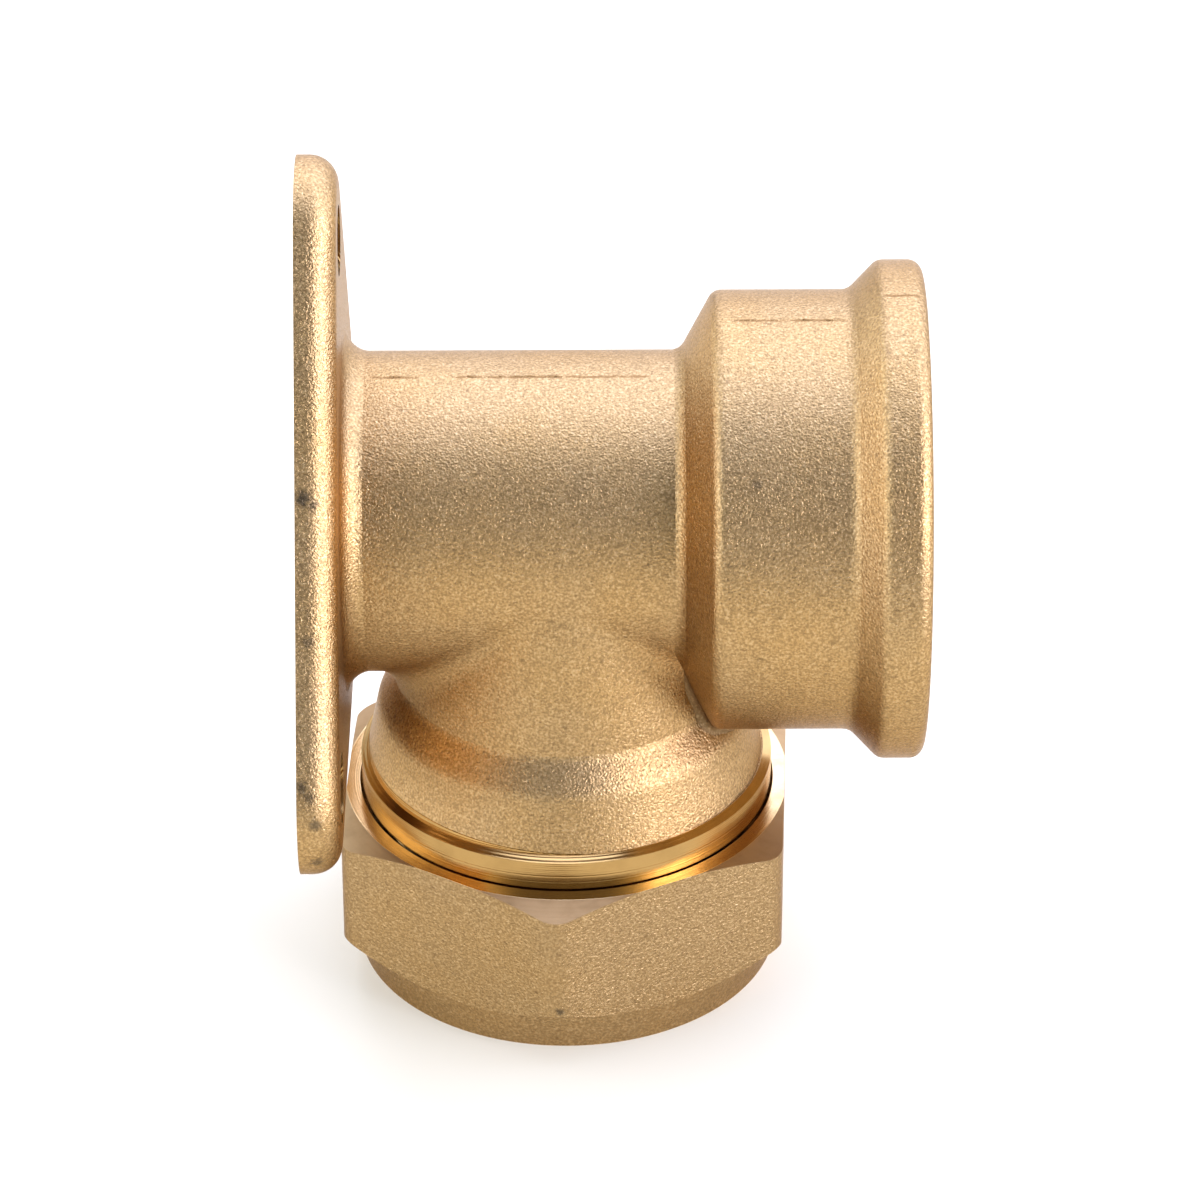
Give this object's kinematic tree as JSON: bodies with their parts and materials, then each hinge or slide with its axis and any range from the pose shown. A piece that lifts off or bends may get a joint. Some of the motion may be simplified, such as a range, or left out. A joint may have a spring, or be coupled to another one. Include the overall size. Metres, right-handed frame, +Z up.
{
  "type": "wall plate elbow",
  "caption": "Forged brass wall plate elbow: triangular screw plate, straight stem with a female threaded socket, and a downward compression branch with a hexagon nut and olive.",
  "frame": {"origin": "centre of the wall face, on the axis of the stem", "axes": "+X out of the wall along the stem to the threaded mouth, +Z up, the compression branch hangs down along -Z"},
  "size_m": [0.0439, 0.0502, 0.0641],
  "materials": {
    "forged_brass": "shot-blasted forging with turned ring, thread and mouth",
    "nut_brass": "shot-blasted forging with turned end faces and thread",
    "olive_brass": "turned, bright"
  },
  "bodies": {
    "elbow": {"elbow_body": "forged_brass"},
    "olive_ring": {"olive": "olive_brass"},
    "nut": {"compression_nut": "nut_brass"}
  },
  "joints": [
    {"name": "nut_travel", "type": "slide", "parent": "elbow", "child": "olive_ring", "axis": [0, 0, -1], "range_m": [0, 0.0068]},
    {"name": "nut_turn", "type": "hinge", "parent": "olive_ring", "child": "nut", "pos_m": [0.0184, 0, -0.029], "axis": [0, 0, -1], "range_deg": [0, 1620]}
  ],
  "couplings": [
    {"joint": "nut_travel", "follows": "nut_turn", "m_per_rad": 0.00023873}
  ]
}
